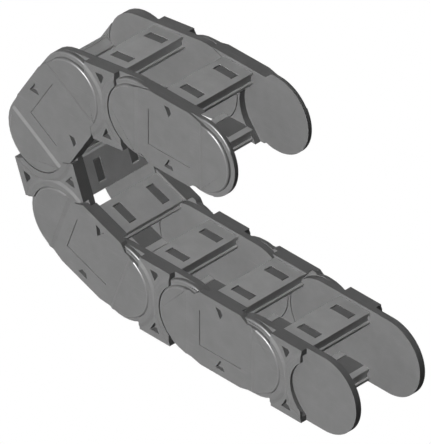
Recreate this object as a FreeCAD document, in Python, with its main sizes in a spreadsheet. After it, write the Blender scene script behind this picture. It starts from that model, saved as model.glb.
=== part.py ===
import FreeCAD, Part
import math
import os
import Sketcher

# A cable drag chain of eight plastic links, in millimetres. The chain lies with its lower run
# along X on the plane Z = 0, curls up and over, and comes back above itself. Y runs across the
# chain. The origin is in the middle of the outline, on the plane that the lower run lies on.
# Inner and outer links alternate. Every link has two side plates and two snap-in crossbars.

SIZES = [
    ("link_pitch", 67.0, "distance between the two hinge centres of a link"),
    ("plate_height", 64.0, "height of a side plate, and diameter of its end discs"),
    ("plate_thickness", 12.0, "thickness of a side plate"),
    ("inner_width", 60.0, "clear width between the two side plates of a link"),
    ("lip_thickness", 2.65, "thickness of the outermost layer, lips and bosses"),
    ("flange_thickness", 3.95, "thickness of the middle layer, where the flanges turn"),
    ("side_play", 0.1, "gap between flat faces that slide on each other"),
    ("rim_play", 0.45, "gap between round rims that turn inside each other"),
    ("boss_radius", 27.8, "end radius of the raised boss on an outer plate"),
    ("shoulder_half", 20.8, "half length of the straight top edge of the boss"),
    ("web_width", 31.0, "width of the web of an inner plate"),
    ("rim_width", 4.4, "width of the raised rim on an inner plate"),
    ("sink_depth", 1.1, "how far the middle of a plate lies below its rims"),
    ("ramp_width", 2.65, "width of the ramp from a rim down to the middle"),
    ("sink_length", 68.0, "length of the sunk middle of an outer plate, ramps included"),
    ("panel_length", 42.5, "length of the shallow panel in an outer plate"),
    ("panel_height", 31.0, "height of the shallow panel in an outer plate"),
    ("panel_depth", 0.9, "depth of the shallow panel in an outer plate"),
    ("notch_width", 9.2, "width of the base of a three-cornered notch"),
    ("notch_base", 26.6, "distance from mid-height to the base of a notch"),
    ("notch_tip", 18.4, "distance from mid-height to the tip of a notch"),
    ("inner_notch_depth", 5.6, "depth of a notch in an inner plate, from its rims"),
    ("outer_notch_depth", 4.4, "depth of a notch in an outer plate, from its boss"),
    ("stud_radius", 4.0, "radius of the hinge stud on an outer plate"),
    ("stud_length", 3.6, "length of the hinge stud"),
    ("stud_play", 0.05, "gap between the stud and its bore, all round"),
    ("lug_inner", 15.0, "inner radius of the stop lug"),
    ("lug_outer", 20.0, "outer radius of the stop lug"),
    ("lug_angle", 16.0, "angle that the stop lug takes up, in degrees"),
    ("lug_length", 3.0, "length of the stop lug"),
    ("lug_play", 0.3, "gap between the lug and the walls of its groove"),
    ("stop_play", 0.5, "spare angle at each end of the groove, in degrees"),
    ("bend_limit", 53.0, "largest bend between two links, in degrees"),
    ("bend_play", 0.15, "gap left at the shoulder of an outer plate at the largest bend"),
    ("flats", 36.0, "flats that stand in for a circle where one rim hides behind another"),
    ("bore_flats", 12.0, "flats of the hidden bore that a hinge stud turns in"),
    ("bar_width", 30.0, "width of a crossbar along the chain"),
    ("bar_thickness", 10.4, "thickness of a crossbar"),
    ("bar_inset", 2.0, "how far a crossbar lies below the edges of the plates"),
    ("bar_gap", 0.3, "gap between the end of a crossbar and the side plate"),
    ("groove_height", 5.9, "height of the long groove in each side of a crossbar"),
    ("groove_depth", 1.95, "depth of the long groove in each side of a crossbar"),
    ("tongue_width", 18.3, "width of the tongue that a crossbar snaps on"),
    ("tongue_length", 19.5, "length of the tongue from the face of the plate"),
    ("tongue_thickness", 4.2, "thickness of the tongue"),
    ("tongue_neck", 13.6, "width of the neck where the tongue leaves the plate"),
    ("tongue_inset", 0.3, "how far the tongue lies below the rims of the crossbar"),
    ("tongue_play", 0.2, "gap round the tongue in its recess"),
    ("catch_start", 9.5, "distance from the plate to the window in the crossbar"),
    ("catch_length", 7.1, "length of that window across the chain"),
    ("catch_width", 17.0, "width of the catch in that window, along the chain"),
    ("catch_inset", 0.3, "how far the catch lies below the outer face of the crossbar"),
    ("bend_1_2", 0.0, "bend between links 1 and 2 as the chain lies, in degrees"),
    ("bend_2_3", 0.0, "bend between links 2 and 3, in degrees"),
    ("bend_3_4", 20.0, "bend between links 3 and 4, in degrees"),
    ("bend_4_5", 49.0, "bend between links 4 and 5, in degrees"),
    ("bend_5_6", 53.0, "bend between links 5 and 6, in degrees"),
    ("bend_6_7", 50.0, "bend between links 6 and 7, in degrees"),
    ("bend_7_8", 8.0, "bend between links 7 and 8, in degrees"),
]
LINKS = 8

doc = FreeCAD.newDocument("cable_drag_chain")
sheet = doc.addObject("Spreadsheet::Sheet", "sizes")
for row, (alias, value, meaning) in enumerate(SIZES, start=1):
    sheet.set("A%d" % row, meaning)
    sheet.set("B%d" % row, str(value))
    sheet.setAlias("B%d" % row, alias)
doc.recompute()


def size(alias):
    return float(sheet.get(alias))


# A side plate is modelled flat: X along the link, Y up its height, Z from its outer face inwards.
# These are the depths of its layers and the places that its parts share.
HALF_PITCH = "sizes.link_pitch / 2"
HALF_HEIGHT = "sizes.plate_height / 2"
FACE = "0"
LIP_END = "sizes.lip_thickness"
FLANGE_END = "(sizes.lip_thickness + sizes.flange_thickness)"
INNER_FACE = "sizes.plate_thickness"
PLAY = "sizes.side_play"
BAR_OUTER = "(sizes.plate_height / 2 - sizes.bar_inset)"
BAR_INNER = "(sizes.plate_height / 2 - sizes.bar_inset - sizes.bar_thickness)"
TONGUE_INNER = "(%s + sizes.tongue_inset)" % BAR_INNER
TONGUE_OUTER = "(%s + sizes.tongue_thickness)" % TONGUE_INNER


def shaped(kind, name, sizes, x="0", y="0", z="0"):
    solid = doc.addObject("Part::" + kind, name)
    for prop, formula in sizes.items():
        solid.setExpression(prop, formula)
    for axis, formula in (("x", x), ("y", y), ("z", z)):
        solid.setExpression("Placement.Base." + axis, formula)
    return solid


def block(name, width, low, high, start, end, x="0"):
    """A block centred on x, from low to high up the plate and from start to end in depth."""
    sizes = {
        "Length": width,
        "Width": "%s - (%s)" % (high, low),
        "Height": "%s - (%s)" % (end, start),
    }
    return shaped("Box", name, sizes, "%s - (%s) / 2" % (x, width), low, start)


def disc(name, radius, start, end, x):
    sizes = {"Radius": radius, "Height": "%s - (%s)" % (end, start)}
    return shaped("Cylinder", name, sizes, x, "0", start)


def flatted(name, corner_radius, start, end, x, flats="sizes.flats"):
    """A disc with flats for its rim."""
    sizes = {
        "Polygon": flats,
        "Circumradius": corner_radius,
        "Height": "%s - (%s)" % (end, start),
    }
    return shaped("Prism", name, sizes, x, "0", start)


def sector(name, near, far, half_angle, start, end, x, heading):
    """A piece of a sector round the hinge centre at x, between two distances from it."""
    widths = ["%s * tan(%s)" % (distance, half_angle) for distance in (near, far)]
    sizes = {
        "Xmin": "-(%s)" % widths[0],
        "Xmax": widths[0],
        "X2min": "-(%s)" % widths[1],
        "X2max": widths[1],
        "Ymin": near,
        "Ymax": far,
        "Zmin": "0",
        "Z2min": "0",
        "Zmax": "%s - (%s)" % (end, start),
        "Z2max": "%s - (%s)" % (end, start),
    }
    piece = shaped("Wedge", name, sizes, x, "0", start)
    piece.setExpression("Placement.Rotation.Angle", "%s - 90" % heading)
    return piece


def fuse(name, solids):
    joined = doc.addObject("Part::MultiFuse", name)
    joined.Shapes = solids
    return joined


def cut(name, base, tools):
    result = doc.addObject("Part::Cut", name)
    result.Base = base
    result.Tool = tools[0] if len(tools) == 1 else fuse(name + "_tools", tools)
    return result


def notches(name, depth):
    """The two three-cornered notches of a plate, with their tips towards mid-height."""
    sizes = {
        "Xmin": "-sizes.notch_width / 2",
        "Xmax": "sizes.notch_width / 2",
        "X2min": "0",
        "X2max": "0",
        "Ymin": "-sizes.notch_base",
        "Ymax": "-sizes.notch_tip",
        "Zmin": "-sizes.lip_thickness",
        "Z2min": "-sizes.lip_thickness",
        "Zmax": depth,
        "Z2max": depth,
    }
    pair = []
    for side, turn in (("lower", 0), ("upper", 180)):
        notch = shaped("Wedge", "%s_%s" % (name, side), sizes)
        notch.setExpression("Placement.Rotation.Angle", str(turn))
        pair.append(notch)
    return pair


def tongues(name):
    """The two tongues of a plate, each with the catch that fills a window of its crossbar."""
    root = "%s - sizes.flange_thickness" % INNER_FACE
    clear = "(%s + sizes.bar_gap)" % INNER_FACE
    end = "(%s + sizes.tongue_length)" % INNER_FACE
    catch = "(%s + sizes.catch_start + sizes.tongue_play)" % INNER_FACE
    catch_end = "(%s + sizes.catch_start + sizes.catch_length - sizes.tongue_play)" % INNER_FACE
    catch_top = "(%s - sizes.catch_inset)" % BAR_OUTER
    pieces = []
    for side, turn in (("upper", 0), ("lower", 180)):
        tag = "%s_%s" % (name, side)
        neck = block(tag + "_neck", "sizes.tongue_neck", TONGUE_INNER, TONGUE_OUTER, root, clear)
        strip = block(tag + "_strip", "sizes.tongue_width", TONGUE_INNER, TONGUE_OUTER, clear, end)
        hook = block(tag + "_hook", "sizes.catch_width", TONGUE_INNER, catch_top, catch, catch_end)
        joined = fuse(tag, [neck, strip, hook])
        joined.setExpression("Placement.Rotation.Angle", str(turn))
        pieces.append(joined)
    return pieces


def boss_outline():
    """The outline of the raised boss: straight edges, shoulders that slope, and round ends."""
    half = size("link_pitch") / 2
    top = size("plate_height") / 2
    radius = size("boss_radius")
    flat = size("shoulder_half")
    reach = math.hypot(flat - half, top)
    touch = math.atan2(top, flat - half) - math.acos(radius / reach)
    sketch = doc.addObject("Sketcher::SketchObject", "boss_outline")
    centre = {side: FreeCAD.Vector(side * half, 0, 0) for side in (1, -1)}
    ends = {}
    for side in (1, -1):
        circle = Part.Circle(centre[side], FreeCAD.Vector(0, 0, 1), radius)
        first, last = (-touch, touch) if side == 1 else (math.pi - touch, math.pi + touch)
        ends[side] = sketch.addGeometry(Part.ArcOfCircle(circle, first, last))
    flats = {}
    slopes = {}
    for up in (1, -1):
        corner = {side: FreeCAD.Vector(side * flat, up * top, 0) for side in (1, -1)}
        flats[up] = sketch.addGeometry(Part.LineSegment(corner[-1], corner[1]))
        for side in (1, -1):
            tangent = FreeCAD.Vector(
                side * (half + radius * math.cos(touch)), up * radius * math.sin(touch), 0
            )
            slopes[side, up] = sketch.addGeometry(Part.LineSegment(corner[side], tangent))
    rule = Sketcher.Constraint
    sketch.addConstraint(rule("PointOnObject", ends[1], 3, -1))
    sketch.addConstraint(rule("Symmetric", ends[1], 3, ends[-1], 3, -1, 1))
    sketch.addConstraint(rule("Equal", ends[1], ends[-1]))
    sketch.addConstraint(rule("Symmetric", flats[1], 1, flats[1], 2, -2))
    sketch.addConstraint(rule("Symmetric", flats[-1], 1, flats[-1], 2, -2))
    sketch.addConstraint(rule("Equal", flats[1], flats[-1]))
    for (side, up), slope in slopes.items():
        sketch.addConstraint(rule("Coincident", slope, 1, flats[up], 2 if side == 1 else 1))
        sketch.addConstraint(rule("Tangent", slope, 2, ends[side], 2 if side == up else 1))
    bound = [
        (rule("DistanceX", -1, 1, ends[1], 3, half), HALF_PITCH),
        (rule("Radius", ends[1], radius), "sizes.boss_radius"),
        (rule("DistanceX", flats[1], 1, flats[1], 2, 2 * flat), "2 * sizes.shoulder_half"),
        (rule("DistanceY", -1, 1, flats[1], 2, top), HALF_HEIGHT),
        (rule("DistanceY", flats[-1], 2, -1, 1, top), HALF_HEIGHT),
    ]
    for constraint, formula in bound:
        index = sketch.addConstraint(constraint)
        sketch.setExpression("Constraints[%d]" % index, formula)
    return sketch


def sunk_middle():
    """The shallow valley across the face of an outer plate, with a ramp at each end."""
    sizes = {
        "Xmin": "-sizes.sink_length / 2",
        "Xmax": "sizes.sink_length / 2",
        "X2min": "sizes.ramp_width - sizes.sink_length / 2",
        "X2max": "sizes.sink_length / 2 - sizes.ramp_width",
        "Ymin": "0",
        "Ymax": "sizes.sink_depth",
        "Zmin": "-sizes.plate_height",
        "Z2min": "-sizes.plate_height",
        "Zmax": "sizes.plate_height",
        "Z2max": "sizes.plate_height",
    }
    valley = shaped("Wedge", "sunk_middle", sizes)
    valley.Placement.Rotation = FreeCAD.Rotation(FreeCAD.Vector(1, 0, 0), 90)
    return valley


# The outer side plate. Its flange fills the middle layer, the boss stands on it to the outer
# face, and an hourglass stands on it to the inner face, between the discs of its neighbours.
boss = doc.addObject("Part::Extrusion", "boss")
boss.Base = boss_outline()
boss.DirMode = "Custom"
boss.Dir = FreeCAD.Vector(0, 0, 1)
boss.Solid = True
boss.setExpression("LengthFwd", "sizes.lip_thickness + sizes.side_play")
FLANGE_TOP = "(%s + %s)" % (LIP_END, PLAY)
FLANGE_BOTTOM = "(%s - %s)" % (FLANGE_END, PLAY)
OPEN_RIM = "(sizes.plate_height / 2 + sizes.rim_play) / cos(180 / sizes.flats)"
ENDS = (("plus", HALF_PITCH), ("minus", "-" + HALF_PITCH))
flange = block("flange", "sizes.link_pitch", "-" + HALF_HEIGHT, HALF_HEIGHT,
               FLANGE_TOP, FLANGE_BOTTOM)
flange_ends = [
    flatted("flange_end_" + tag, HALF_HEIGHT, FLANGE_TOP, FLANGE_BOTTOM, place)
    for tag, place in ENDS
]
free_flange_end = disc("free_flange_end", HALF_HEIGHT, FLANGE_TOP, FLANGE_BOTTOM,
                       "-" + HALF_PITCH)
hourglass = cut(
    "hourglass",
    block("hourglass_block", "sizes.link_pitch", "-" + HALF_HEIGHT, HALF_HEIGHT,
          FLANGE_BOTTOM, INNER_FACE),
    [flatted("waist_" + tag, OPEN_RIM, FLANGE_BOTTOM, INNER_FACE, place) for tag, place in ENDS],
)
panel = block("panel", "sizes.panel_length", "-sizes.panel_height / 2", "sizes.panel_height / 2",
              FACE, "sizes.sink_depth + sizes.panel_depth")


def shoulder_cut(layer, reach, radius, start, end):
    """What a neighbour, straight from this reach on, needs at the largest bend."""
    path = {
        "Length": HALF_PITCH,
        "Width": HALF_HEIGHT + " + sizes.bend_play",
        "Height": "%s - (%s)" % (end, start),
    }
    swept = shaped("Box", layer + "_swept", path,
                   "%s + cos(sizes.bend_limit) * %s" % (HALF_PITCH, reach),
                   "sin(sizes.bend_limit) * " + reach, start)
    swept.setExpression("Placement.Rotation.Angle", "sizes.bend_limit")
    kept = disc(layer + "_kept", radius + " + sizes.rim_play / 2", start, end, HALF_PITCH)
    plus = cut(layer + "_cut_plus", swept, [kept])
    minus = doc.addObject("Part::Mirroring", layer + "_cut_minus")
    minus.Source = plus
    minus.Normal = FreeCAD.Vector(1, 0, 0)
    return [plus, minus]


def hinge_stud(tag, place, heading):
    """The stud of an outer plate and its stop lug, which points to the middle of the plate."""
    stud_end = "(%s + sizes.stud_length)" % FLANGE_END
    lug_end = "(%s + sizes.lug_length)" % FLANGE_END
    stud = disc("stud_" + tag, "sizes.stud_radius", FLANGE_BOTTOM, stud_end, place)
    lug = sector("lug_" + tag, "sizes.lug_inner", "sizes.lug_outer", "(sizes.lug_angle / 2)",
                 FLANGE_BOTTOM, lug_end, place, heading)
    return [stud, lug]


WEB_REACH = "(sizes.link_pitch / 2 - sizes.web_width / 2 - sizes.bend_play)"
shoulder_cuts = (
    shoulder_cut("lip", WEB_REACH, "sizes.boss_radius", "-" + LIP_END, FLANGE_TOP)
    + shoulder_cut("flange", WEB_REACH, HALF_HEIGHT, FLANGE_TOP, FLANGE_BOTTOM)
    + shoulder_cut("core", "0", HALF_HEIGHT, FLANGE_BOTTOM, INNER_FACE + " + sizes.lip_thickness")
)
stud_plus = hinge_stud("plus", HALF_PITCH, "180")
stud_minus = hinge_stud("minus", "-" + HALF_PITCH, "0")
outer_tongues = tongues("outer_tongue")
outer_cuts = [sunk_middle(), panel] + notches("outer_notch", "sizes.outer_notch_depth") + shoulder_cuts
blank = cut("outer_blank", fuse("outer_body", [boss, hourglass, flange] + flange_ends), outer_cuts)
outer_plate = fuse("outer_plate", [blank] + outer_tongues + stud_plus + stud_minus)
end_blank = cut("outer_end_blank", fuse("outer_end_body",
                                        [boss, hourglass, flange, flange_ends[0], free_flange_end]),
                outer_cuts)
outer_end_plate = fuse("outer_end_plate", [end_blank] + outer_tongues + stud_plus)

# The inner side plate. Its web fills all layers, with a raised rim round each neighbour's boss.
# In the inner layer it goes on at full height to the hinges and ends in half discs. The flange of
# the neighbour turns in a pocket over them.
RIM = "(sizes.boss_radius + sizes.rim_play + sizes.rim_width)"
web = block("web", "sizes.web_width", "-" + HALF_HEIGHT, HALF_HEIGHT, FACE, INNER_FACE)
rims = []
lip_cuts = []
end_discs = []
for tag, place in ENDS:
    cone = {"Radius1": RIM, "Radius2": RIM + " + sizes.ramp_width", "Height": "sizes.sink_depth"}
    rims.append(shaped("Cone", "rim_" + tag, cone, place))
    lip_cuts.append(disc("lip_cut_" + tag, "sizes.boss_radius + sizes.rim_play",
                         FACE, LIP_END, place))
    lip_cuts.append(flatted("pocket_" + tag, OPEN_RIM, LIP_END, FLANGE_END, place))
    end_discs.append(flatted("end_disc_" + tag, HALF_HEIGHT, FLANGE_END, INNER_FACE, place))
free_end_disc = disc("free_end_disc", HALF_HEIGHT, FLANGE_END, INNER_FACE, HALF_PITCH)
core = block("core", "sizes.link_pitch", "-" + HALF_HEIGHT, HALF_HEIGHT, FLANGE_END, INNER_FACE)
middle = block("middle", "sizes.web_width", "-" + HALF_HEIGHT, HALF_HEIGHT,
               FACE, "sizes.sink_depth")
inner_web = cut("inner_web", web, [cut("middle_cut", middle, rims)] + lip_cuts)


def hinge_bore(tag, place, heading):
    """The blind bore for a neighbour's stud and the groove that its stop lug runs in."""
    bore_end = "(%s + sizes.stud_length + sizes.stud_play)" % FLANGE_END
    groove_end = "(%s + sizes.lug_length + sizes.side_play)" % FLANGE_END
    half_sweep = "(sizes.bend_limit / 2 + sizes.lug_angle / 2 + sizes.stop_play)"
    bore = flatted("bore_" + tag, "(sizes.stud_radius + sizes.stud_play) / cos(180 / sizes.bore_flats)",
                   FLANGE_END, bore_end, place, "sizes.bore_flats")
    near = "(sizes.lug_inner - sizes.lug_play) * cos(%s)" % half_sweep
    far = "(sizes.lug_outer / cos(sizes.lug_angle / 2) + sizes.lug_play)"
    groove = sector("groove_" + tag, near, far, half_sweep, FLANGE_END, groove_end, place, heading)
    return [bore, groove]


bore_plus = hinge_bore("plus", HALF_PITCH, "sizes.bend_limit / 2")
bore_minus = hinge_bore("minus", "-" + HALF_PITCH, "180 - sizes.bend_limit / 2")
inner_tongues = tongues("inner_tongue")
inner_notches = notches("inner_notch", "sizes.inner_notch_depth")
inner_solid = fuse("inner_solid", [inner_web, core] + end_discs + inner_tongues)
inner_plate = cut("inner_plate", inner_solid, inner_notches + bore_plus + bore_minus)
end_solid = fuse("inner_end_solid", [inner_web, core, free_end_disc, end_discs[1]] + inner_tongues)
inner_end_plate = cut("inner_end_plate", end_solid, inner_notches + bore_minus)


# The crossbar, modelled where it sits on the side of a link that faces the inside of the bend:
# X along the link, Y across it and Z up. It is a beam with a long groove in each side, a recess
# at each end for the tongue of the plate, and two windows for the catches.
def rectangle(body, name, plane, sides, depth="0"):
    """A sketch of rectangles, each (left, right, low, high), bound to the sheet."""
    sketch = body.newObject("Sketcher::SketchObject", name)
    origin = [part for part in body.Origin.OriginFeatures if part.Role == plane][0]
    sketch.AttachmentSupport = [(origin, "")]
    sketch.MapMode = "FlatFace"
    sketch.setExpression("AttachmentOffset.Base.z", depth)
    rule = Sketcher.Constraint
    for left, right, low, high in sides:
        spots = [(left, low), (right, low), (right, high), (left, high)]
        first = sketch.GeometryCount
        points = [FreeCAD.Vector(value(a), value(b), 0) for a, b in spots]
        for n in range(4):
            sketch.addGeometry(Part.LineSegment(points[n], points[(n + 1) % 4]))
        for n in range(4):
            sketch.addConstraint(rule("Coincident", first + n, 2, first + (n + 1) % 4, 1))
        for n, kind in enumerate(("Horizontal", "Vertical", "Horizontal", "Vertical")):
            sketch.addConstraint(rule(kind, first + n))
        for n, kind, formula in ((0, "DistanceX", left), (2, "DistanceX", right),
                                 (0, "DistanceY", low), (2, "DistanceY", high)):
            at = rule(kind, -1, 1, first + n, 1, value(formula))
            index = sketch.addConstraint(at)
            sketch.setExpression("Constraints[%d]" % index, formula)
    return sketch


def value(formula):
    """The number that a formula of the sheet stands for now."""
    reader = doc.addObject("App::FeaturePython", "reader")
    reader.addProperty("App::PropertyFloat", "Result")
    reader.setExpression("Result", formula)
    doc.recompute([reader])
    number = reader.Result
    doc.removeObject(reader.Name)
    return number


bar = doc.addObject("PartDesign::Body", "crossbar")
HALF_BAR = "(sizes.inner_width / 2 - sizes.bar_gap)"
section = rectangle(bar, "bar_section", "XZ_Plane",
                    [("-sizes.bar_width / 2", "sizes.bar_width / 2", BAR_INNER, BAR_OUTER)])
beam = bar.newObject("PartDesign::Pad", "beam")
beam.Profile = section
beam.Midplane = True
beam.setExpression("Length", "2 * " + HALF_BAR)
GROOVE_LOW = "(%s + (sizes.bar_thickness - sizes.groove_height) / 2)" % BAR_INNER
GROOVE_HIGH = "(%s - (sizes.bar_thickness - sizes.groove_height) / 2)" % BAR_OUTER
GROOVE_FLOOR = "(sizes.bar_width / 2 - sizes.groove_depth)"
section = rectangle(bar, "groove_section", "XZ_Plane", [
    ("-sizes.bar_width / 2", "-" + GROOVE_FLOOR, GROOVE_LOW, GROOVE_HIGH),
    (GROOVE_FLOOR, "sizes.bar_width / 2", GROOVE_LOW, GROOVE_HIGH),
])
grooves = bar.newObject("PartDesign::Pocket", "grooves")
grooves.Profile = section
grooves.Midplane = True
grooves.setExpression("Length", "2 * " + HALF_BAR)
RECESS_HALF = "(sizes.tongue_width / 2 + sizes.tongue_play)"
RECESS_END = "(sizes.inner_width / 2 - sizes.tongue_length - sizes.tongue_play)"
section = rectangle(bar, "recess_outline", "XY_Plane", [
    ("-" + RECESS_HALF, RECESS_HALF, "-" + HALF_BAR, "-" + RECESS_END),
    ("-" + RECESS_HALF, RECESS_HALF, RECESS_END, HALF_BAR),
], BAR_INNER)
recesses = bar.newObject("PartDesign::Pocket", "recesses")
recesses.Profile = section
recesses.Reversed = True
recesses.setExpression("Length", "sizes.tongue_inset + sizes.tongue_thickness")
WINDOW_NEAR = "(sizes.inner_width / 2 - sizes.catch_start - sizes.catch_length)"
WINDOW_FAR = "(sizes.inner_width / 2 - sizes.catch_start)"
section = rectangle(bar, "window_outline", "XY_Plane", [
    ("-" + RECESS_HALF, RECESS_HALF, "-" + WINDOW_FAR, "-" + WINDOW_NEAR),
    ("-" + RECESS_HALF, RECESS_HALF, WINDOW_NEAR, WINDOW_FAR),
], BAR_INNER)
windows = bar.newObject("PartDesign::Pocket", "windows")
windows.Profile = section
windows.Reversed = True
windows.setExpression("Length", "sizes.bar_thickness")
doc.recompute()

# The chain. Links are numbered from the free end of the lower run. Each link turns against the
# one before it by the bend at their hinge, and the pins are found by walking along the chain.
bends = [size("bend_%d_%d" % (n, n + 1)) for n in range(1, LINKS)]
headings = [sum(bends[:n]) for n in range(LINKS)]
pins = [FreeCAD.Vector(0, 0, size("plate_height") / 2)]
for heading in headings:
    angle = math.radians(heading)
    step = FreeCAD.Vector(-math.cos(angle), 0, math.sin(angle)) * size("link_pitch")
    pins.append(pins[-1] + step)
shift = FreeCAD.Vector(-(min(pin.x for pin in pins) + max(pin.x for pin in pins)) / 2, 0, 0)
pins = [pin + shift for pin in pins]
centres = [(pins[n] + pins[n + 1]) / 2 for n in range(LINKS)]

across = size("inner_width") / 2 + size("plate_thickness")
upright = FreeCAD.Rotation(FreeCAD.Vector(1, 0, 0), 90)
flipped = FreeCAD.Rotation(FreeCAD.Vector(1, 0, 0), 180)
nodes = []


def node(kind, name, source, base, rotation):
    piece = doc.addObject("Part::" + kind, name)
    piece.Source = source
    piece.Label = name
    piece.Placement = FreeCAD.Placement(base, rotation)
    nodes.append(piece)
    return piece


for n in range(LINKS):
    name = "link_%d" % (n + 1)
    turned = FreeCAD.Rotation(FreeCAD.Vector(0, 1, 0), headings[n])
    if n % 2 == 0:
        moulding = inner_end_plate if n == 0 else inner_plate
    else:
        moulding = outer_end_plate if n == LINKS - 1 else outer_plate
    side = FreeCAD.Vector(0, across, 0)
    node("Refine", name + "_far_side_plate", moulding, centres[n] + side, turned * upright)
    near = node("Mirroring", name + "_near_side_plate", moulding, centres[n] - side,
                turned * upright)
    near.Normal = FreeCAD.Vector(0, 0, 1)
    node("Refine", name + "_inside_crossbar", bar, centres[n], turned)
    node("Refine", name + "_outside_crossbar", bar, centres[n], turned * flipped)
doc.recompute()

# Every object is checked before any file is written.
for thing in doc.Objects:
    for fault in ("Invalid", "Error"):
        if fault in thing.State:
            raise RuntimeError("%s is %s" % (thing.Name, fault))
for piece in nodes:
    if piece.Shape.isNull() or not piece.Shape.isValid() or len(piece.Shape.Solids) != 1:
        raise RuntimeError("%s has no single valid solid" % piece.Label)

os.makedirs("parts", exist_ok=True)
for piece in nodes:
    piece.Shape.exportStep("parts/%s.step" % piece.Label)
print("%d pieces written" % len(nodes))
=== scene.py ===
import math

import bmesh
import bpy
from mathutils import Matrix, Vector


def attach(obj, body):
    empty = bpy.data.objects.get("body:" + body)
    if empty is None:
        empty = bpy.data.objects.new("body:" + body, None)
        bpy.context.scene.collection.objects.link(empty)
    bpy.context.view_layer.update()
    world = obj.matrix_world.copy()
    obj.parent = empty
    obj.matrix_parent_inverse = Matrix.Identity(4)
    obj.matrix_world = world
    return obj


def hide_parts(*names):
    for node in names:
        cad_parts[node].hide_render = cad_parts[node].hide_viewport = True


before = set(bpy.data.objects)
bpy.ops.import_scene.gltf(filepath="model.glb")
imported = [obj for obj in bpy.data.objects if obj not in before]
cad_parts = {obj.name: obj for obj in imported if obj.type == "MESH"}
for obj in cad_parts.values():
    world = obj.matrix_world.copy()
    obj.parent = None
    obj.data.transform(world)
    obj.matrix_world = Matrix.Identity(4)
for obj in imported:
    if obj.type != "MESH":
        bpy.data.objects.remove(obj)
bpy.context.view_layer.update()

# Side plates. Every link has two, injection moulded in a tough nylon filled with glass fibre.
# Outer plates (even links) have a raised boss that turns in the rings of the inner plates next to
# them. The mould leaves a fine matt grain, and every edge that a hand meets is rounded.
LINKS = range(1, 9)
PLATE_GREY = "7C7C7C"
PLATE_WEAR = "8C8C8B"
NYLON_IOR = 1.53
EDGE_ROUNDING = 0.0002
# Flats that meet at more than this angle have an edge of their own, below it they are one curve.
CREASE = 16
# How far the flats of the flanges, then of the bosses, lie from the middle of the chain, and the
# radius of the roll at their rims. The roll is cut in steps of this many degrees.
RIMS = ((0.03925, 0.0012), (0.042, 0.0016))
ROLL_STEP = 30
# A flat with a rolled rim is over 1 square centimetre and keeps to its plane within 0.02 mm.
RIM_FLAT_AREA = 0.0001
RIM_FLAT_PLAY = 0.00002
# A roll takes at most this share of the wall below it.
WALL_SHARE = 0.6
# Ramps and cones lie between these distances from the middle of the chain, and this much of
# their facing is across it.
RAMP_Y = (0.0395, 0.0419)
RAMP_FACING = (0.3, 0.95)
# A direction with more than this share of its length along Y goes straight across the chain.
SQUARE = 0.99
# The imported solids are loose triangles. Corners this near each other are one, and triangles that
# meet at less than this angle are one flat.
SAME_CORNER = 0.000002
SAME_FLAT = 0.5


def linear(colour):
    """The linear colour of an sRGB hex value."""
    parts = [int(colour[n:n + 2], 16) / 255 for n in (0, 2, 4)]
    return [c / 12.92 if c <= 0.04045 else ((c + 0.055) / 1.055) ** 2.4 for c in parts] + [1.0]


def add(tree, kind, settings, links=()):
    """Adds a node, sets its settings or unlinked sockets, and links sources to its sockets."""
    made = tree.nodes.new("ShaderNode" + kind)
    for name, setting in settings.items():
        if isinstance(name, str) and hasattr(made, name):
            setattr(made, name, setting)
        else:
            made.inputs[name].default_value = setting
    for socket, source in links:
        tree.links.new(source, made.inputs[socket])
    return made


def moulded_nylon(name, colour, wear_colour, roughness, gloss):
    """Glass-filled nylon from a spark-eroded mould: dull, slightly mottled, paler where it rubs."""
    material = bpy.data.materials.new(name)
    material.use_nodes = True
    tree = material.node_tree
    tree.nodes.clear()
    place = add(tree, "TexCoord", {}).outputs["Object"]
    # Glass fibre gathers in clouds about 12 mm wide, a few percent darker or lighter.
    clouds = add(tree, "TexNoise", {"Scale": 85.0, "Detail": 4.0, "Roughness": 0.55},
                 [("Vector", place)])
    cloud_share = add(tree, "MapRange", {"From Min": 0.3, "From Max": 0.7,
                                         "To Min": 0.94, "To Max": 1.05},
                      [("Value", clouds.outputs["Fac"])])
    base = add(tree, "VectorMath", {"operation": "SCALE", 0: linear(colour)[:3]},
               [("Scale", cloud_share.outputs["Result"])])
    # Scuffs run along the chain, where cables and the next link slide: 25 mm long, 1 mm wide, and
    # at most half worn.
    along = add(tree, "Mapping", {"Scale": (40.0, 900.0, 900.0)}, [("Vector", place)])
    scuffs = add(tree, "TexNoise", {"Scale": 1.0, "Detail": 3.0},
                 [("Vector", along.outputs["Vector"])])
    scuff_share = add(tree, "MapRange", {"From Min": 0.62, "From Max": 0.75,
                                         "To Min": 0.0, "To Max": 0.5},
                      [("Value", scuffs.outputs["Fac"])])
    tone = add(tree, "Mix", {"data_type": "RGBA", 7: linear(wear_colour)},
               [(0, scuff_share.outputs["Result"]), (6, base.outputs["Vector"])])
    # The eroded grain is 0.15 mm wide, drawn 0.5 mm wide so that it shows, with a faint relief.
    grain = add(tree, "TexNoise", {"Scale": 2000.0, "Detail": 2.0}, [("Vector", place)])
    rough = add(tree, "MapRange", {"From Min": 0.3, "From Max": 0.7,
                                   "To Min": roughness - 0.06, "To Max": roughness + 0.06},
                [("Value", grain.outputs["Fac"])])
    bump = add(tree, "Bump", {"Strength": 0.1, "Distance": 0.00006},
               [("Height", grain.outputs["Fac"])])
    shader = add(tree, "BsdfPrincipled", {"IOR": NYLON_IOR, "Specular IOR Level": gloss},
                 [("Base Color", tone.outputs[2]), ("Roughness", rough.outputs["Result"]),
                  ("Normal", bump.outputs["Normal"])])
    add(tree, "OutputMaterial", {}, [("Surface", shader.outputs["BSDF"])])
    return material


def wall_below(corner):
    """The height of the wall under a corner, or 0 where it has no plain wall."""
    down = [e.calc_length() for e in corner.link_edges
            if abs(e.other_vert(corner).co.y) < abs(corner.co.y) - e.calc_length() * SQUARE]
    return down[0] if len(corner.link_edges) == 3 and down else 0.0


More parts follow.
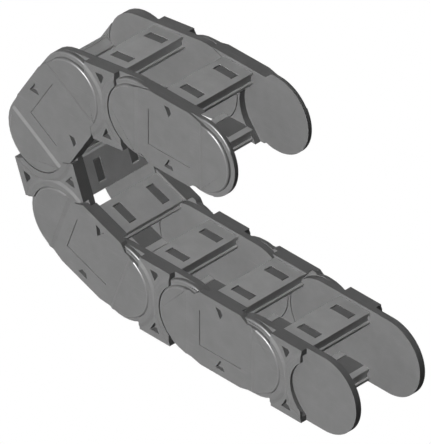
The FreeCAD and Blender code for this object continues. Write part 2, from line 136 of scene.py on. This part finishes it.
def round_rim(shape, face_y, radius):
    """Rolls the rim of the flats at face_y over to the wall below them, where there is one."""
    rolled = shape.verts.layers.float.get("rolled") or shape.verts.layers.float.new("rolled")
    flats = [f for f in shape.faces if abs(f.normal.y) > SQUARE and f.calc_area() > RIM_FLAT_AREA
             and abs(abs(f.calc_center_median().y) - face_y) < RIM_FLAT_PLAY]
    for flat in flats:
        drop = {tuple(corner.co): min(radius, WALL_SHARE * wall_below(corner))
                for corner in flat.verts}
        for angle in range(90, 0, -ROLL_STEP):
            turn = math.radians(angle)
            inwards = radius * (math.sin(turn) - math.sin(turn - math.radians(ROLL_STEP)))
            strips = bmesh.ops.inset_region(shape, faces=[flat], thickness=inwards,
                                            use_boundary=True, use_even_offset=False)["faces"]
            outer = {v for strip in strips for v in strip.verts} - set(flat.verts)
            inner_drop = {}
            for corner in flat.verts:
                for edge in corner.link_edges:
                    if edge.other_vert(corner) in outer:
                        inner_drop[tuple(corner.co)] = drop[tuple(edge.other_vert(corner).co)]
            for corner in outer:
                fall = drop[tuple(corner.co)]
                corner[rolled] = float(fall > 0)
                corner.co.y -= math.copysign(fall * (1 - math.cos(turn)), corner.co.y)
            for strip in strips:
                strip.material_index = int(all(v[rolled] for v in strip.verts if v in outer))
            drop = inner_drop
        for corner in flat.verts:
            corner[rolled] = float(drop[tuple(corner.co)] > 0)


def moulding(node, body, materials, rounding, rims, finish_and_shade_of):
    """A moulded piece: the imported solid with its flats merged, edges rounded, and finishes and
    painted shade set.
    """
    shape = bmesh.new()
    shape.from_mesh(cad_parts[node].data)
    bmesh.ops.remove_doubles(shape, verts=shape.verts, dist=SAME_CORNER)
    bmesh.ops.dissolve_limit(shape, angle_limit=math.radians(SAME_FLAT), verts=shape.verts,
                             edges=shape.edges)
    for face in shape.faces:
        face.material_index = finish_and_shade_of(face.calc_center_median(), face.normal)
    for face_y, radius in rims:
        round_rim(shape, face_y, radius)
    rolled = shape.verts.layers.float.get("rolled")
    share = shape.edges.layers.float.new("bevel_weight_edge")
    for edge in shape.edges:
        if math.degrees(edge.calc_face_angle(0)) > CREASE:
            if not rolled or not all(v[rolled] for v in edge.verts):
                edge[share] = 1.0
    mesh = bpy.data.meshes.new(node + "_moulding")
    shape.to_mesh(mesh)
    shape.free()
    mesh.shade_smooth()
    for material in materials:
        mesh.materials.append(material)
    piece = bpy.data.objects.new(node + "_moulding", mesh)
    bpy.context.scene.collection.objects.link(piece)
    bevel = piece.modifiers.new("edges", "BEVEL")
    bevel.width = rounding
    bevel.segments = 3
    bevel.limit_method = "WEIGHT"
    bevel.use_clamp_overlap = False
    piece.modifiers.new("flats", "WEIGHTED_NORMAL")
    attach(piece, body)
    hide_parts(node)


def plate_finish(place, facing):
    """2 on the ramps and cones, 0 elsewhere. round_rim gives the rolled rims 1."""
    ramp = (RAMP_Y[0] < abs(place.y) < RAMP_Y[1]
            and RAMP_FACING[0] < abs(facing.y) < RAMP_FACING[1])
    return 2 if ramp else 0


# The grain scatters light, so the flats are a dull, even grey.
plate_nylon = moulded_nylon("moulded_nylon_mid_grey", PLATE_GREY, PLATE_WEAR, 0.7, 0.2)
# Rims slide on the next link at every bend, which burnishes the grain to a soft shine. The ramps
# and cones beside them only rub now and then, so their shine is wider and duller.
rim_nylon = moulded_nylon("burnished_nylon_mid_grey", PLATE_GREY, PLATE_WEAR, 0.46, 0.8)
ramp_nylon = moulded_nylon("rubbed_nylon_mid_grey", PLATE_GREY, PLATE_WEAR, 0.56, 0.45)
for n in LINKS:
    for side in ("far", "near"):
        moulding("link_%d_%s_side_plate" % (n, side), "link_%d" % n,
                 [plate_nylon, rim_nylon, ramp_nylon], EDGE_ROUNDING,
                 RIMS if n % 2 == 0 else (), plate_finish)

# Crossbars. Two close every link, inside and outside the bend. Each is a moulded beam in a paler
# nylon with a long groove in both sides, snapped on the tongues of the side plates.
BAR_GREY = "C6C6C6"
BAR_WEAR = "D0D0CF"
BAR_ROUNDING = 0.0002
# Painted shade: the dark grey of the windows' walls stands in for the shade inside them.
WINDOW_SHADE_GREY = "5E5E5E"
# Walls further than this from the middle of the chain are the ends of a bar.
BAR_END = 0.027
# The bars' nylon is paler, with hardly any shine.
bar_nylon = moulded_nylon("moulded_nylon_pale_grey", BAR_GREY, BAR_WEAR, 0.8, 0.05)
# The walls of the small windows are painted dark grey. This is painted shade that stands in for the
# shade inside the windows, so they look dark.
window_painted_shade = moulded_nylon("painted_shade_dark_grey", WINDOW_SHADE_GREY, PLATE_GREY, 0.8, 0.1)


def bar_painted_shade(place, facing):
    """1, the painted shade, on the walls across the bar, except its two ends."""
    return int(abs(facing.y) > SQUARE and abs(place.y) < BAR_END)


for n in LINKS:
    for side in ("inside", "outside"):
        moulding("link_%d_%s_crossbar" % (n, side), "link_%d" % n, [bar_nylon, window_painted_shade],
                 BAR_ROUNDING, (), bar_painted_shade)

# Floor. A plain matt sheet under the chain, which gives it a little light from below and shows in
# its shine. The camera looks through it at the white backdrop, so that links which bend below it
# stay in sight. From underneath it isn't there for any light.
FLOOR_HALF = 4.0
FLOOR_GREY = "6A6A6A"
# In a shine, 30 percent of the floor is the white of the backdrop.
FLOOR_SHINE = 0.3
FLOOR_SHINE_GREY = "5A5A5A"
FLOOR_GLOW = 0.97
floor_shape = bmesh.new()
bmesh.ops.create_grid(floor_shape, x_segments=1, y_segments=1, size=FLOOR_HALF)
floor_mesh = bpy.data.meshes.new("floor")
floor_shape.to_mesh(floor_mesh)
floor_shape.free()
floor = bpy.data.objects.new("floor", floor_mesh)
bpy.context.scene.collection.objects.link(floor)
paper = bpy.data.materials.new("white_paper")
paper.use_nodes = True
tree = paper.node_tree
tree.nodes.clear()
ray = add(tree, "LightPath", {})
shine = add(tree, "Math", {"operation": "MULTIPLY", 1: FLOOR_SHINE},
            [(0, ray.outputs["Is Glossy Ray"])])
sheet = add(tree, "BsdfDiffuse", {"Color": linear(FLOOR_GREY)})
dim = add(tree, "BsdfDiffuse", {"Color": linear(FLOOR_SHINE_GREY)})
glow = add(tree, "Emission", {"Color": linear("FFFFFF"), "Strength": FLOOR_GLOW})
white = add(tree, "AddShader", {}, [(0, dim.outputs["BSDF"]), (1, glow.outputs["Emission"])])
lit = add(tree, "MixShader", {}, [(0, shine.outputs["Value"]), (1, sheet.outputs["BSDF"]),
                                  (2, white.outputs["Shader"])])
clear = add(tree, "BsdfTransparent", {})
side_seen = add(tree, "NewGeometry", {})
both = add(tree, "MixShader", {}, [(0, side_seen.outputs["Backfacing"]), (1, lit.outputs["Shader"]),
                                   (2, clear.outputs["BSDF"])])
add(tree, "OutputMaterial", {}, [("Surface", both.outputs["Shader"])])
floor.data.materials.append(paper)
floor.visible_camera = False

# Studio light. Lamps in front, a little above, give the side plates their full tone. Most of it is
# a fill that throws no shadow, so that the inside of the chain is lit as evenly as in a light tent.
# The glint lamp gives only the shine on rims and ramps, and two weak ones light the back.
ROOM = 0.04
# Each lamp has its direction, strength, spread in degrees, whether it throws shadows, and the light
# it gives. Without shadow, it keeps its strength in covered places only while its spread is small.
LAMPS = [
    ("front", (0.0, -0.95, 0.30), 0.35, 25.0, True, "diffuse"),
    ("front_fill", (0.0, -0.95, 0.30), 2.58, 2.0, False, "diffuse"),
    ("glint", (0.09, -0.86, 0.50), 12.0, 2.0, False, "glossy"),
    ("back_left", (-0.65, 0.76, 0.0), 1.3, 30.0, True, "diffuse"),
    ("back_right", (-0.05, 0.98, 0.02), 1.3, 30.0, True, "diffuse"),
]
for name, towards, strength, spread, shadow, kind in LAMPS:
    lamp = bpy.data.lights.new(name, "SUN")
    lamp.energy = strength
    lamp.angle = math.radians(spread)
    lamp.use_shadow = shadow
    holder = bpy.data.objects.new(name, lamp)
    holder.visible_diffuse = kind == "diffuse"
    holder.visible_glossy = kind == "glossy"
    holder.rotation_mode = "QUATERNION"
    holder.rotation_quaternion = Vector(towards).to_track_quat("Z", "Y")
    bpy.context.scene.collection.objects.link(holder)
# The room is dim, and the camera sees it as a white backdrop.
world = bpy.data.worlds.new("room")
world.use_nodes = True
tree = world.node_tree
tree.nodes.clear()
ray = add(tree, "LightPath", {})
seen = add(tree, "Math", {"operation": "MAXIMUM"},
           [(0, ray.outputs["Is Camera Ray"]), (1, ray.outputs["Is Transmission Ray"])])
level = add(tree, "MapRange", {"To Min": ROOM, "To Max": 1.0}, [("Value", seen.outputs["Value"])])
light = add(tree, "Background", {"Color": linear("FFFFFF")},
            [("Strength", level.outputs["Result"])])
add(tree, "OutputWorld", {}, [("Surface", light.outputs["Background"])])
bpy.context.scene.world = world
bpy.context.scene.view_settings.view_transform = "Standard"

# Camera. The photograph is an even view from the front, the right and above, with no
# perspective, so the camera stands far off with a long lens. The picture is this high, in metres,
# where the camera aims.
VIEW_HEIGHT = 0.3206
AIM = Vector((-0.002, 0.0, 0.093))
LENS = 1400.0
SENSOR = 36.0
eye = Vector((1.0, -1.0, 1.0)).normalized()
camera = bpy.data.cameras.new("camera")
camera.lens = LENS
camera.sensor_width = SENSOR
camera.clip_end = 100.0
stand = bpy.data.objects.new("camera", camera)
stand.location = AIM + eye * (VIEW_HEIGHT * LENS / SENSOR)
stand.rotation_mode = "QUATERNION"
stand.rotation_quaternion = eye.to_track_quat("Z", "Y")
bpy.context.scene.collection.objects.link(stand)
bpy.context.scene.camera = stand
